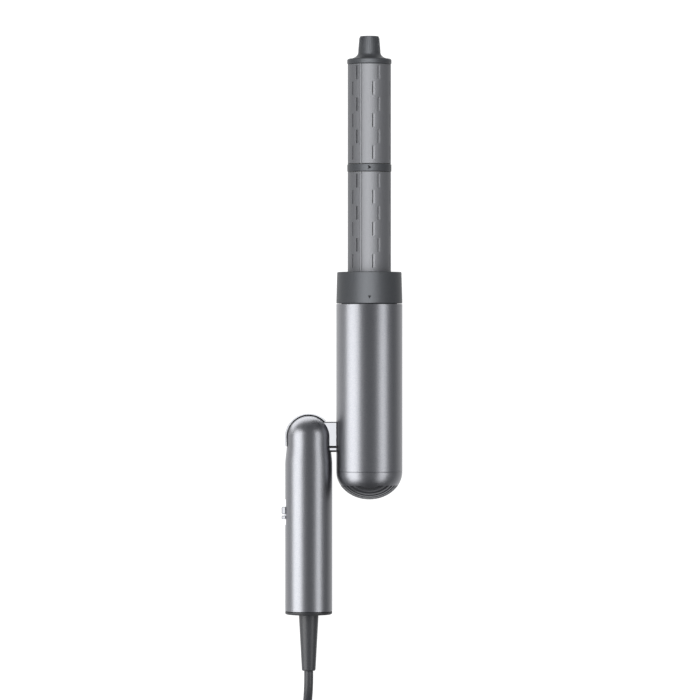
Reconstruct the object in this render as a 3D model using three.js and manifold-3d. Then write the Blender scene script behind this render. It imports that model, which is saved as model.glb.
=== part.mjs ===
// A folding hot-air styler with a curling barrel, lying on a table, in millimetres with +Z up.
//
// The device is drawn in its own frame: U (x) runs from the handle's axis towards the blower's axis,
// V (y) runs up the device from the hinge axis, and W (z) stands out of the flat side of the pair.
// The two tubes have different radii and both touch the table, so the whole device is rolled a little
// about the handle's axis. The origin is the centre of the device's footprint on the table, without its
// mains lead, and +Y runs along the barrel.
import * as THREE from "three";
import { mergeVertices } from "three/addons/utils/BufferGeometryUtils.js";
import Module from "manifold-3d";

const wasm = await Module();
wasm.setup();

// ---- driving dimensions ----

const GAP = 0.3; // between neighbouring pieces
const FINEST = 48; // sides of the widest round pieces
const FINE = 32; // sides of a large round piece
const COARSE = 16; // sides of a small or hidden round piece

const AXES_APART = 42.1; // handle axis to blower axis
const HANDLE_R = 16.35;
const BLOWER_R = 22.95;
const BARREL_R = 15;

const HANDLE = {
  wall: 1.8,
  bottom: -121,
  domeR: 15.25, // the dome sits inside the trim band
  shoulderTop: -6.9, // the tube narrows to the dome between these two heights
  shoulderBottom: -15,
};
const TRIM = { outer: 16.4, inner: 15.55, width: 7.2, legBottom: -6.6, firstAngle: 43 };
const END_CAP = { bottom: -123.3, edge: 1.4, hole: 5.2, spigotTop: -112, spigotWall: 1.6 };
const BOOT = { topR: 6.85, tipR: 4.8, tip: -162.4, neckR: 4.9, flangeR: 7, sleeveR: 4.6, sleeveTop: -103 };

const SWITCH = {
  centre: -52.25, // the middle of the knob's travel
  knobCentre: -52.85, // where the knob stands at rest
  knobLength: 8.5,
  knobWidth: 5.6,
  proud: 2.2, // the knob above the tube's flank
  bezelLength: 17.9,
  bezelWidth: 8,
  slotLength: 12,
  slotWidth: 3.8,
  trackOuter: -15.6, // the recessed track's two faces, along U
  trackInner: -13.2,
  knobBase: -15.9, // the foot of the knob's crown, along U
  knobCorner: 1.1,
  stem: [-10.9, 4, 3], // the stem's inner end along U, its length and its width
  body: [-12.4, -6.4, 20, 5.5], // the switch from U to U, its length and its top along W
  groove: [-10.4, 12.8, 3.6], // the groove for the stem: how deep along U, its length and its width
};
const CLAMP = { half: 11, bottom: -111.5, top: -104.5, baseW: -8, flange: 2, boltU: 8.8, arch: 1.8 };
const CLAMP_HOLE_R = 1.6;
const SCREW = { shankR: 1.3, headR: 2.6, end: -6.5, headEdge: 1.4, headCrown: 1.9 };
const CIRCUIT = { face: -2.8, thick: 1.6, half: 13, bottom: -98, top: -24 }; // its face looks along W
const CAPACITOR = { r: 5, bottom: -95, top: -79, u: 4 };
const HEAT_SINK = { half: 6.7, bottom: -74, top: -66, base: 1 };
const FINS = { at: [-6, -2, 2, 6], thick: 1.4, top: 9 };
const HARNESS_R = 1.5;
const HARNESS_ROUTE = [
  [-9, -20, 1],
  [-10.6, -14, 0.6],
  [-11.4, -8, 0.2],
  [-11.3, -3.6, 0],
  [-9.8, -0.7, 0],
  [-7, 0, 0],
  [3, 0, 0],
];

const NECK = { top: 10.4, bottom: -10.7, half: 4.8, corner: 0.7, bore: 3.9, from: 10.2, to: 18.85 };
const NECK_GROOVE = { top: -6.5, bottom: -7.6, depth: 1.2 };
const AXLE = { outer: 3.6, inner: 2.4, from: -8.7, to: 25.1 };
const HINGE_HOUSING = { outer: 9.3, inner: 6.6, from: -6, to: 9 };
const WAVE_WASHER = { outer: 9, inner: 4.2, from: -6.9 };
const RETAINER = { outer: 7.6, from: -8.4 };
const FLANGE = { outer: 12.2, to: 26.7 };
const RUNNING = 0.1; // between a shaft and its bush or bearing

const BLOWER = { wall: 2, bottom: -23.8, top: 92.2 };
const INLET = { seam: -24.1, depth: 19.4, wall: 1.6, grilleTop: -33.5, pitch: 2.8, slot: 1.3, slots: 14 };
const SPIGOT = 5.5; // how far the inlet cap's spigot reaches into the tube
const KEEL = { outside: 0.5, inside: 1.5, thick: 1.6, first: -155, last: -25 };
const FILTER = { r: 18, bottom: -29.4, top: -28.6 };
const MOTOR = { r: 15, wall: 1.4, bottom: -16, top: 26, shaftR: 1.5, shaftBottom: -14.5, shaftTop: 23.5 };
const MOTOR_MOUNT = { outer: 20.6, bottom: -17.4, top: -13 };
const STATOR = { inner: 5.8, bottom: 3.5, top: 17 };
const MAGNET = { r: 5.2, bottom: 4, top: 16.5 };
const BEARING = { r: 4.5, thick: 3, lower: -2.5, upper: 19 };
const IMPELLER = { bottom: -13.5, top: -4.5, hubBottomR: 4, hubTopR: 8, reach: 12.9, blades: 9, slant: 32 };
const BLADE = { root: 3.2, half: 4, thick: 0.9, middle: -9.2 };
const VANES = { bottom: -3, top: 1, hubR: 7, reach: 13.2, count: 7, thick: 1 };
const SPOKES = { bottom: 18.5, top: 22.5, hubR: 6.4, reach: 13.2, count: 3, thick: 2 };
const HEATER = { bottom: 32, top: 80, plateHalf: 13.4, plateThick: 0.8, coilR: 14.6, wireR: 0.5, turns: 6 };
const COIL_MARGIN = 3; // bare sheet beyond each end of the heating coil
const HEATER_SLEEVE = { outer: 17.3, inner: 16.7, below: 2, above: 3 };
const CUTOUT = { from: [1.2, 40, 1.2], to: [6.4, 52, 5.2] };
const NOSE = { root: 78, shoulder: 91.9, top: 108, rootR: 20.6, spigotR: 19.4, inner: 17.7, edge: 0.8 };
const GRILLE = { bottom: 103, top: 105, radii: [17.3, 12, 6.5], ringWidth: 1.4, barHalf: 17, barThick: 1.6 };
const SEAL = { bottom: 96, top: 97.6, reach: 0.9 };

const COLLAR = { bottom: 92.5, top: 114.4, topR: 22.36, bore: 20.6, ceiling: 110.5 };
const BARREL = {
  inner: 13.8,
  footTop: 110.2,
  footBottom: 108.9,
  footR: 17.2,
  ring: [183.9, 189.3],
  ringR: 15.35,
  joinerLength: 8, // the thin sleeve inside each half
  joinerWall: 0.6,
  top: 258.3,
};
const SLOT = { length: 9.4, width: 0.7, pitch: 22.2, columns: 6, rows: 3, firstAngles: [-34, -49] };
const LOWEST_SLOT = { lower: 117.2, upper: 192.3 };
const SLEEVE = { outer: 12.6, inner: 11.8, bottom: 112, top: 257.5 };
const TIP = { bottom: 258.6, flangeR: 15.4, flangeTop: 262.3, neckR: 7.75, neck: 266.7, endR: 6.67 };
const TIP_END = 278.1;
const TIP_INSIDE = { ceiling: 260.8, spigotBottom: 251, edge: 0.6, endEdge: 0.7 };

const CORD_R = 3.2;
const OUTER_RUN = 25.6; // how far the hank's outermost runs lie from its middle line, away from the waist
// The runs of the hank end at its top.
const HANK = { x: -6, top: -264.6, run: 82, pinch: 14.5, bottom: 1.1, height: 20.4 };
const TIE = { thick: 0.75, length: 9, clear: 1 }; // clear of the hank, which opens a little below the band
const PLUG = { x: 34, top: -383, length: 36, width: 25, height: 17, bottom: 0.05, edge: 1 };
const PLUG_NECK = { endHalf: 5, half: 6, length: 10, shoulder: 18 };
const PIN = { length: 16, spacing: 12.7, thick: 1.5, height: 6.4 };

// ---- materials ----

function material(color, roughness, metalness) {
  return new THREE.MeshStandardMaterial({ color, roughness, metalness });
}
const SILVER = () => material(0x9a9ba0, 0.35, 0.9);
const CHROME = () => material(0xe6e7ea, 0.08, 1);
const BARREL_COAT = () => material(0x808285, 0.42, 0.75);
const GREY_PLASTIC = () => material(0x505254, 0.5, 0);
const DARK_PLASTIC = () => material(0x3a3b3e, 0.55, 0);
const PVC = () => material(0x454548, 0.5, 0);
const STEEL = () => material(0xb6b8bb, 0.3, 1);
const BRASS = () => material(0xc8a35a, 0.35, 1);
const NYLON = () => material(0xd8d6cd, 0.6, 0);
const MICA = () => material(0xb9a98a, 0.7, 0);
const BOARD = () => material(0x2f5a3c, 0.6, 0);
const RUBBER = () => material(0x1e1e20, 0.85, 0);

// ---- shape helpers ----

// A closed solid of revolution about the Y axis. The outline's [radius, height] points run
// anticlockwise, and either
// start and end on the axis or are closed here.
function turned(outline, sides = COARSE) {
  const points = outline.map(([r, y]) => new THREE.Vector2(r, y));
  const onAxis = outline[0][0] === 0 && outline.at(-1)[0] === 0;
  if (!onAxis) points.push(points[0].clone());
  return new THREE.LatheGeometry(points, sides);
}

// A plain ring about the Y axis.
function ring(outer, inner, bottom, top, sides = COARSE) {
  return turned([[inner, bottom], [outer, bottom], [outer, top], [inner, top]], sides);
}

// A solid cylinder about the Y axis.
function rod(radius, bottom, top, sides = COARSE) {
  return turned([[0, bottom], [radius, bottom], [radius, top], [0, top]], sides);
}

// A box between two corners.
function block([x0, y0, z0], [x1, y1, z1]) {
  const box = new THREE.BoxGeometry(x1 - x0, y1 - y0, z1 - z0);
  return box.translate((x0 + x1) / 2, (y0 + y1) / 2, (z0 + z1) / 2);
}

// A flat outline in XY, made into a plate from z0 to z1.
function plate(shape, z0, z1, curveSegments = 12) {
  const options = { depth: z1 - z0, bevelEnabled: false, curveSegments };
  return new THREE.ExtrudeGeometry(shape, options).translate(0, 0, z0);
}

// Turns a shape made about the Y axis so that its +Y runs along +X.
const alongU = (geometry) => geometry.rotateZ(-Math.PI / 2);

// Points on an arc about [cx, cy], from angle a0 to angle a1 in degrees, both ends included.
function arc(cx, cy, rx, ry, a0, a1, steps) {
  return Array.from({ length: steps + 1 }, (_, i) => {
    const a = THREE.MathUtils.degToRad(a0 + ((a1 - a0) * i) / steps);
    return [cx + rx * Math.cos(a), cy + ry * Math.sin(a)];
  });
}

function solidOf(geometry) {
  const bare = geometry.clone();
  bare.deleteAttribute("normal");
  bare.deleteAttribute("uv");
  const merged = mergeVertices(bare, 1e-4);
  return new wasm.Manifold(
    new wasm.Mesh({
      numProp: 3,
      vertProperties: merged.getAttribute("position").array,
      triVerts: new Uint32Array(merged.index.array),
    }),
  );
}

function geometryOf(solid) {
  const mesh = solid.getMesh();
  const geometry = new THREE.BufferGeometry();
  geometry.setAttribute("position", new THREE.BufferAttribute(mesh.vertProperties, 3));
  geometry.setIndex(new THREE.BufferAttribute(mesh.triVerts, 1));
  geometry.computeVertexNormals();
  return geometry;
}

function cut(base, tools) {
  return geometryOf(tools.reduce((whole, tool) => whole.subtract(solidOf(tool)), solidOf(base)));
}

function join([first, ...others]) {
  return geometryOf(others.reduce((whole, piece) => whole.add(solidOf(piece)), solidOf(first)));
}

function piece(name, geometry, look) {
  const mesh = new THREE.Mesh(geometry, look);
  mesh.name = name;
  return mesh;
}

function group(...members) {
  const made = new THREE.Group();
  made.add(...members);
  return made;
}

// ---- handle ----
// The tube with its closed dome, an open foot, the opening for the hinge neck on its right flank and the
// switch window on its left.
function handleTube() {
  const inner = HANDLE_R - HANDLE.wall;
  const domeInner = HANDLE.domeR - HANDLE.wall;
  const shell = turned(
    [
      ...arc(0, 0, domeInner, domeInner, 90, 0, 6).map(([r, y], i) => [i ? r : 0, y]),
      [domeInner, HANDLE.shoulderTop],
      [inner, HANDLE.shoulderBottom],
      [inner, HANDLE.bottom],
      [HANDLE_R, HANDLE.bottom],
      [HANDLE_R, HANDLE.shoulderBottom],
      [HANDLE_R - 0.25, HANDLE.shoulderBottom + 3.6],
      [HANDLE.domeR + 0.1, HANDLE.shoulderTop],
      ...arc(0, 0, HANDLE.domeR, HANDLE.domeR, 0, 90, 8).map(([r, y], i) => [i === 8 ? 0 : r, y]),
    ],
    FINE,
  );
  const halfLength = SWITCH.bezelLength / 2 + GAP;
  const halfWidth = SWITCH.bezelWidth / 2 + GAP;
  return cut(shell, [
    neckBar(GAP, NECK.from - 6, HANDLE_R + 4),
    block(
      [-HANDLE_R - 1, SWITCH.centre - halfLength, -halfWidth],
      [SWITCH.trackInner + 1, SWITCH.centre + halfLength, halfWidth],
    ),
  ]);
}

// A polished band that follows the dome in the plane of the two tubes and runs a little way down the
// left flank.
function domeTrim() {
  const outline = [
    ...arc(0, 0, TRIM.outer, TRIM.outer, TRIM.firstAngle, 180, 20),
    [-TRIM.outer, TRIM.legBottom],
    [-TRIM.inner, TRIM.legBottom],
    ...arc(0, 0, TRIM.inner, TRIM.inner, 180, TRIM.firstAngle, 20),
  ];
  const shape = new THREE.Shape(outline.map(([x, y]) => new THREE.Vector2(x, y)));
  return plate(shape, -TRIM.width / 2, TRIM.width / 2);
}

function endCap() {
  const top = HANDLE.bottom - GAP;
  const spigotR = HANDLE_R - HANDLE.wall - GAP;
  return turned(
    [
      [END_CAP.hole, END_CAP.bottom],
      [HANDLE_R - END_CAP.edge, END_CAP.bottom],
      [HANDLE_R - END_CAP.edge / 3, END_CAP.bottom + END_CAP.edge / 2],
      [HANDLE_R, top - 0.4],
      [HANDLE_R, top],
      [spigotR, top],
      [spigotR, END_CAP.spigotTop],
      [spigotR - END_CAP.spigotWall, END_CAP.spigotTop],
      [spigotR - END_CAP.spigotWall, top + GAP],
      [END_CAP.hole, top + GAP],
    ],
    FINE,
  );
}

// The tapered boot, its neck through the end cap, its flange behind the cap and the sleeve that the
// clamp grips.
function strainRelief() {
  const shoulder = END_CAP.bottom - GAP;
  const capTop = HANDLE.bottom + GAP;
  return turned([
    [0, BOOT.tip],
    [BOOT.tipR - 0.9, BOOT.tip],
    [BOOT.tipR - 0.25, BOOT.tip + 0.4],
    [BOOT.tipR, BOOT.tip + 1.1],
    [BOOT.topR, shoulder],
    [BOOT.neckR, shoulder],
    [BOOT.neckR, capTop],
    [BOOT.flangeR, capTop],
    [BOOT.flangeR, capTop + 2.1],
    [BOOT.sleeveR, capTop + 2.1],
    [BOOT.sleeveR, BOOT.sleeveTop],
    [0, BOOT.sleeveTop],
  ]);
}

function cordClampBase() {
  const body = block([-CLAMP.half, CLAMP.bottom, CLAMP.baseW], [CLAMP.half, CLAMP.top, -GAP]);
  const seat = rod(BOOT.sleeveR + GAP, CLAMP.bottom - 1, CLAMP.top + 1);
  return cut(body, [seat, clampHole(-1), clampHole(1)]);
}

// A cylinder along W where a clamp screw goes.
function clampHole(side) {
  const middle = (CLAMP.bottom + CLAMP.top) / 2;
  const hole = rod(CLAMP_HOLE_R, CLAMP.baseW - 1, -CLAMP.baseW, 12);
  return hole.rotateX(Math.PI / 2).translate(side * CLAMP.boltU, middle, 0);
}

function cordClamp() {
  const strap = block([-CLAMP.half, CLAMP.bottom, 0], [CLAMP.half, CLAMP.top, CLAMP.flange]);
  const arch = rod(BOOT.sleeveR + GAP + CLAMP.arch, CLAMP.bottom, CLAMP.top);
  const below = block([-20, CLAMP.bottom - 1, -20], [20, CLAMP.top + 1, 0]);
  const seat = rod(BOOT.sleeveR + GAP, CLAMP.bottom - 1, CLAMP.top + 1);
  return cut(join([strap, arch]), [below, seat, clampHole(-1), clampHole(1)]);
}

function clampScrew(side) {
  const seat = CLAMP.flange + GAP;
  const screw = turned(
    [
      [0, SCREW.end],
      [SCREW.shankR, SCREW.end],
      [SCREW.shankR, seat],
      [SCREW.headR, seat],
      [SCREW.headR, seat + SCREW.headEdge],
      [0, seat + SCREW.headCrown],
    ],
    12,
  );
  return screw.rotateX(Math.PI / 2).translate(side * CLAMP.boltU, (CLAMP.bottom + CLAMP.top) / 2, 0);
}

// ---- slide switch ----

// The recessed track in the handle's left flank, with the slot that the knob's stem runs in.
function switchBezel() {
  const half = SWITCH.bezelLength / 2;
  const body = block(
    [SWITCH.trackOuter, SWITCH.centre - half, -SWITCH.bezelWidth / 2],
    [SWITCH.trackInner, SWITCH.centre + half, SWITCH.bezelWidth / 2],
  );
  const slotHalf = SWITCH.slotLength / 2;
  const slot = block(
    [SWITCH.trackOuter - 1, SWITCH.centre - slotHalf, -SWITCH.slotWidth / 2],
    [SWITCH.trackInner + 1, SWITCH.centre + slotHalf, SWITCH.slotWidth / 2],
  );
  return cut(body, [slot]);
}

// The thumb piece with a rounded crown, and the stem that drives the switch.
function slideKnob() {
  const crown = -HANDLE_R - SWITCH.proud;
  const half = SWITCH.knobLength / 2;
  const base = SWITCH.knobBase;
  const corner = SWITCH.knobCorner;
  const outline = [
    [base, half],
    ...arc(crown + corner, half - corner, corner, corner, 90, 180, 4),
    ...arc(crown + corner, corner - half, corner, corner, 180, 270, 4),
    [base, -half],
  ];
  const shape = new THREE.Shape(outline.map(([x, y]) => new THREE.Vector2(x, y)));
  const head = plate(shape, -SWITCH.knobWidth / 2, SWITCH.knobWidth / 2).translate(0, SWITCH.knobCentre, 0);
  const [end, length, width] = SWITCH.stem;
  const stem = block(
    [base - 1, SWITCH.knobCentre - length / 2, -width / 2],
    [end, SWITCH.knobCentre + length / 2, width / 2],
  );
  return join([head, stem]);
}

function switchBody() {
  const [outer, inner, length, top] = SWITCH.body;
  const [depth, grooveLength, grooveWidth] = SWITCH.groove;
  const body = block(
    [outer, SWITCH.centre - length / 2, CIRCUIT.face + GAP],
    [inner, SWITCH.centre + length / 2, top],
  );
  const groove = block(
    [outer - 1, SWITCH.centre - grooveLength / 2, -grooveWidth / 2],
    [depth, SWITCH.centre + grooveLength / 2, grooveWidth / 2],
  );
  return cut(body, [groove]);
}

// ---- electronics in the handle ----

function controlBoard() {
  const { half, bottom, top, face, thick } = CIRCUIT;
  return block([-half, bottom, face - thick], [half, top, face]);
}

function suppressionCapacitor() {
  const can = rod(CAPACITOR.r, CAPACITOR.bottom, CAPACITOR.top);
  return can.translate(CAPACITOR.u, 0, CIRCUIT.face + GAP + CAPACITOR.r);
}

// A finned block that cools the power switch.
function heatSink() {
  const { half, bottom, top, base } = HEAT_SINK;
  const fins = FINS.at.map((u) =>
    block([u - FINS.thick / 2, bottom, base / 2], [u + FINS.thick / 2, top, FINS.top]),
  );
  return join([block([-half, bottom, CIRCUIT.face + GAP], [half, top, base]), ...fins]);
}

// The leads from the board, up the left side and into the hollow axle.
function harness() {
  const path = new THREE.CatmullRomCurve3(HARNESS_ROUTE.map((p) => new THREE.Vector3(...p)));
  return sweep(path, HARNESS_R, 18, 8);
}

// A round rod along a curve.
function sweep(path, radius, steps, sides) {
  const section = new THREE.Shape(
    arc(0, 0, radius, radius, 0, 360 - 360 / sides, sides - 1).map(([x, y]) => new THREE.Vector2(x, y)),
  );
  return new THREE.ExtrudeGeometry(section, { steps, extrudePath: path, bevelEnabled: false });
}

// ---- hinge ----

function hingeHousing() {
  return alongU(ring(HINGE_HOUSING.outer, HINGE_HOUSING.inner, HINGE_HOUSING.from, HINGE_HOUSING.to));
}

function hingeBush() {
  const outer = HINGE_HOUSING.inner - RUNNING;
  return alongU(ring(outer, AXLE.outer + RUNNING, HINGE_HOUSING.from, HINGE_HOUSING.to));
}

function waveWasher() {
  return alongU(ring(WAVE_WASHER.outer, WAVE_WASHER.inner, WAVE_WASHER.from, HINGE_HOUSING.from - GAP));
}

function retainingRing() {
  return alongU(ring(RETAINER.outer, AXLE.outer + RUNNING, RETAINER.from, WAVE_WASHER.from - GAP));
}

// A bar along U with the neck's section, flat on its faces, grown by a clearance.
function neckBar(clearance, from, to) {
  const x = NECK.half + clearance;
  const bottom = NECK.bottom - clearance;
  const top = NECK.top + clearance;
  const shape = new THREE.Shape(
    [
      [NECK.corner - x, bottom],
      [x - NECK.corner, bottom],
      [x, bottom + NECK.corner],
      [x, top - NECK.corner],
      [x - NECK.corner, top],
      [NECK.corner - x, top],
      [-x, top - NECK.corner],
      [-x, bottom + NECK.corner],
    ].map(([w, v]) => new THREE.Vector2(w, v)),
  );
  return plate(shape, from, to).rotateY(Math.PI / 2);
}

// The arm fixed in the handle's dome. The blower turns against its end.
function hingeNeck() {
  const bore = alongU(rod(NECK.bore, NECK.from - 1, NECK.to + 1));
  const grooves = [-1, 1].map((side) => {
    const floor = NECK.half - NECK_GROOVE.depth;
    const low = Math.min(side * floor, side * (NECK.half + 1));
    const high = Math.max(side * floor, side * (NECK.half + 1));
    return block([NECK.from - 1, NECK_GROOVE.bottom, low], [NECK.to + 1, NECK_GROOVE.top, high]);
  });
  return cut(neckBar(0, NECK.from, NECK.to), [bore, ...grooves]);
}

const hingeAxle = () => alongU(ring(AXLE.outer, AXLE.inner, AXLE.from, AXLE.to));
const hingeFlange = () => alongU(ring(FLANGE.outer, AXLE.inner, AXLE.to + GAP, FLANGE.to));

// ---- blower, drawn about its own axis ----

function blowerTube() {
  const inner = BLOWER_R - BLOWER.wall;
  const tube = turned(
    [
      [inner, BLOWER.bottom],
      [BLOWER_R, BLOWER.bottom],
      [BLOWER_R, BLOWER.top],
      [inner, BLOWER.top],
    ],
    FINEST,
  );
  return cut(tube, [alongU(rod(AXLE.outer + GAP, -BLOWER_R - 5, -12))]);
}

// The dome at the blower's foot. Parallel slots run across it, and a keel inside ties the ribs together.
function inletCap() {
  const spigotR = BLOWER_R - BLOWER.wall - GAP;
  const inner = BLOWER_R - INLET.wall;
  const innerDepth = INLET.depth - INLET.wall;
  const shell = turned(
    [
      ...arc(0, INLET.seam, BLOWER_R, INLET.depth, -90, 0, 7).map(([r, y], i) => [i ? r : 0, y]),
      [spigotR, INLET.seam],
      [spigotR, INLET.seam + SPIGOT],
      [spigotR - INLET.wall, INLET.seam + SPIGOT],
      ...arc(0, INLET.seam, inner - 2, innerDepth, 0, -90, 5).map(([r, y], i) => [i === 5 ? 0 : r, y]),
    ],
    FINE,
  );
  const first = (-(INLET.slots - 1) / 2) * INLET.pitch;
  const slots = Array.from({ length: INLET.slots }, (_, i) => {
    const w = first + i * INLET.pitch;
    return block([-30, -50, w - INLET.slot / 2], [30, INLET.grilleTop, w + INLET.slot / 2]);
  });
  return join([cut(shell, slots), inletKeel(inner - 2, innerDepth)]);
}

// A curved bar across all the ribs, behind the dome.
function inletKeel(radius, depth) {
  const outline = [
    ...arc(0, 0, radius + KEEL.outside, depth + KEEL.outside, KEEL.first, KEEL.last, 14),
    ...arc(0, 0, radius - KEEL.inside, depth - KEEL.inside, KEEL.last, KEEL.first, 14),
  ];
  const shape = new THREE.Shape(outline.map(([x, y]) => new THREE.Vector2(x, y)));
  return plate(shape, -KEEL.thick / 2, KEEL.thick / 2).rotateY(Math.PI / 2).translate(0, INLET.seam, 0);
}

const inletFilter = () => rod(FILTER.r, FILTER.bottom, FILTER.top);
const motorMount = () => ring(MOTOR_MOUNT.outer, MOTOR.r + GAP, MOTOR_MOUNT.bottom, MOTOR_MOUNT.top, FINE);
const motorHousing = () => ring(MOTOR.r, MOTOR.r - MOTOR.wall, MOTOR.bottom, MOTOR.top, FINE);
const stator = () => ring(MOTOR.r - MOTOR.wall - GAP, STATOR.inner, STATOR.bottom, STATOR.top);
const bearing = (bottom) => ring(BEARING.r, MOTOR.shaftR + RUNNING, bottom, bottom + BEARING.thick);
const rotorMagnet = () => ring(MAGNET.r, MOTOR.shaftR + GAP, MAGNET.bottom, MAGNET.top);
const rotorShaft = () => rod(MOTOR.shaftR, MOTOR.shaftBottom, MOTOR.shaftTop, 12);

// A hub with blades set at a slant, all inside the motor housing.
function impeller() {
  const boreR = MOTOR.shaftR + GAP;
  const { bottom, top, reach } = IMPELLER;
  const hub = turned([
    [boreR, bottom],
    [IMPELLER.hubBottomR, bottom],
    [IMPELLER.hubTopR, top],
    [boreR, top],
  ]);
  const blades = Array.from({ length: IMPELLER.blades }, (_, i) =>
    block([BLADE.root, -BLADE.half, -BLADE.thick / 2], [reach, BLADE.half, BLADE.thick / 2])
      .rotateX(THREE.MathUtils.degToRad(IMPELLER.slant))
      .translate(0, BLADE.middle, 0)
      .rotateY((i * 2 * Math.PI) / IMPELLER.blades),
  );
  const bore = rod(boreR, bottom - 5, top + 5, 12);
  const above = block([-20, top, -20], [20, top + 9, 20]);
  const below = block([-20, bottom - 9, -20], [20, bottom, 20]);
  return cut(join([hub, ...blades]), [bore, above, below]);
}

// A hub held by radial arms, which holds a bearing.
function spider({ bottom, top, hubR, reach, count, thick }) {
  const hub = ring(hubR, BEARING.r + GAP, bottom, top);
  const arms = Array.from({ length: count }, (_, i) =>
    block([hubR - 0.6, bottom, -thick / 2], [reach, top, thick / 2]).rotateY((i * 2 * Math.PI) / count),
  );
  return join([hub, ...arms]);
}

// Two crossed sheets that carry the heating wire.
function heaterFrame() {
  const h = HEATER.plateHalf;
  const t = HEATER.plateThick / 2;
  return join([
    block([-h, HEATER.bottom, -t], [h, HEATER.top, t]),
    block([-t, HEATER.bottom, -h], [t, HEATER.top, h]),
  ]);
}

function heaterCoil() {
  class Helix extends THREE.Curve {
    getPoint(t, target = new THREE.Vector3()) {
      const a = t * HEATER.turns * 2 * Math.PI;
      const y = THREE.MathUtils.lerp(HEATER.bottom + COIL_MARGIN, HEATER.top - COIL_MARGIN, t);
      return target.set(HEATER.coilR * Math.cos(a), y, HEATER.coilR * Math.sin(a));
    }
  }
  return sweep(new Helix(), HEATER.wireR, HEATER.turns * 14, 4);
}

function heaterSleeve() {
  const { outer, inner, below, above } = HEATER_SLEEVE;
  return ring(outer, inner, HEATER.bottom - below, HEATER.top + above);
}

const thermalCutout = () => block(CUTOUT.from, CUTOUT.to);

function outletNose() {
  return turned(
    [
      [NOSE.inner, NOSE.root],
      [NOSE.rootR, NOSE.root],
      [NOSE.rootR, NOSE.shoulder],
      [NOSE.spigotR, NOSE.shoulder],
      [NOSE.spigotR, NOSE.top - NOSE.edge],
      [NOSE.spigotR - NOSE.edge, NOSE.top],
      [NOSE.inner, NOSE.top],
    ],
    FINE,
  );
}

// The guard in the mouth of the nose: rings on crossed bars.
function outletGrille() {
  const { bottom, top, barHalf, barThick } = GRILLE;
  const bars = [0, 1].map((i) =>
    block([-barHalf, bottom, -barThick / 2], [barHalf, top, barThick / 2]).rotateY((i * Math.PI) / 2),
  );
  const rings = GRILLE.radii.map((r) => ring(r, r - GRILLE.ringWidth, bottom, top));
  return join([...rings, ...bars]);
}

const sealRing = () => ring(NOSE.spigotR + SEAL.reach, NOSE.spigotR + GAP, SEAL.bottom, SEAL.top, FINE);

// ---- curling attachment, drawn about the blower's axis ----

function collar() {
  const foot = COLLAR.bottom + GAP / 3;
  return turned(
    [
      [COLLAR.bore, foot],
      [BLOWER_R, foot],
      [COLLAR.topR, COLLAR.top - 0.5],
      [COLLAR.topR - 0.5, COLLAR.top],
      [BARREL_R + GAP, COLLAR.top],
      [BARREL_R + GAP, COLLAR.ceiling],
      [COLLAR.bore, COLLAR.ceiling],
    ],
    FINEST,
  );
}

// The cuts of one barrel half: two sets of columns, each half a pitch above the other.
function barrelSlots(lowest) {
  const offsets = [SLOT.pitch / 2, 0];
  return SLOT.firstAngles.flatMap((first, type) =>
    Array.from({ length: SLOT.columns * SLOT.rows }, (_, n) => {
      const angle = THREE.MathUtils.degToRad(first + (360 / SLOT.columns) * (n % SLOT.columns));
      const bottom = lowest + offsets[type] + SLOT.pitch * Math.floor(n / SLOT.columns);
      const half = SLOT.width / 2;
      const opening = block([-half, bottom, BARREL.inner - 2], [half, bottom + SLOT.length, BARREL_R + 2]);
      return opening.rotateY(angle);
    }),
  );
}

// The lower half has a foot that the collar's top holds.
function lowerBarrel() {
  const top = BARREL.ring[0] - GAP;
  const tube = turned(
    [
      [BARREL.inner, BARREL.footBottom],
      [BARREL.footR, BARREL.footBottom],
      [BARREL.footR, BARREL.footTop],
      [BARREL_R, BARREL.footTop],
      [BARREL_R, top],
      [BARREL.inner, top],
    ],
    FINE,
  );
  return cut(tube, barrelSlots(LOWEST_SLOT.lower));
}

function upperBarrel() {
  const tube = ring(BARREL_R, BARREL.inner, BARREL.ring[1] + GAP, BARREL.top, FINE);
  return cut(tube, barrelSlots(LOWEST_SLOT.upper));
}

// The ring between the halves, with a thin sleeve that joins them from inside.
function barrelRing() {
  const [bottom, top] = BARREL.ring;
  const { joinerLength, joinerWall } = BARREL;
  const sleeveR = BARREL.inner - GAP;
  return turned(
    [
      [sleeveR - joinerWall, bottom - joinerLength],
      [sleeveR, bottom - joinerLength],
      [sleeveR, bottom],
      [BARREL.ringR, bottom],
      [BARREL.ringR, top],
      [sleeveR, top],
      [sleeveR, top + joinerLength],
      [sleeveR - joinerWall, top + joinerLength],
    ],
    FINE,
  );
}

const diverterSleeve = () => ring(SLEEVE.outer, SLEEVE.inner, SLEEVE.bottom, SLEEVE.top, FINE);

// The finger grip at the barrel's end, hollow below, with a spigot inside the barrel.
function coolTip() {
  const { ceiling, spigotBottom, edge, endEdge } = TIP_INSIDE;
  const spigotR = BARREL.inner - GAP;
  const flare = arc(TIP.flangeR, TIP.neck, TIP.flangeR - TIP.neckR, TIP.neck - TIP.flangeTop, -110, -180, 5);
  return turned(
    [
      [0, ceiling],
      [SLEEVE.outer + GAP, ceiling],
      [SLEEVE.outer + GAP, spigotBottom],
      [spigotR, spigotBottom],
      [spigotR, TIP.bottom],
      [TIP.flangeR, TIP.bottom],
      [TIP.flangeR, TIP.flangeTop - edge],
      [TIP.flangeR - edge, TIP.flangeTop],
      ...flare,
      [TIP.endR, TIP_END - endEdge],
      [TIP.endR - endEdge, TIP_END],
      [0, TIP_END],
    ],
    FINE,
  );
}

// ---- mains lead, drawn on the table: x from the handle's axis, y as V, z from the table ----

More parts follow.
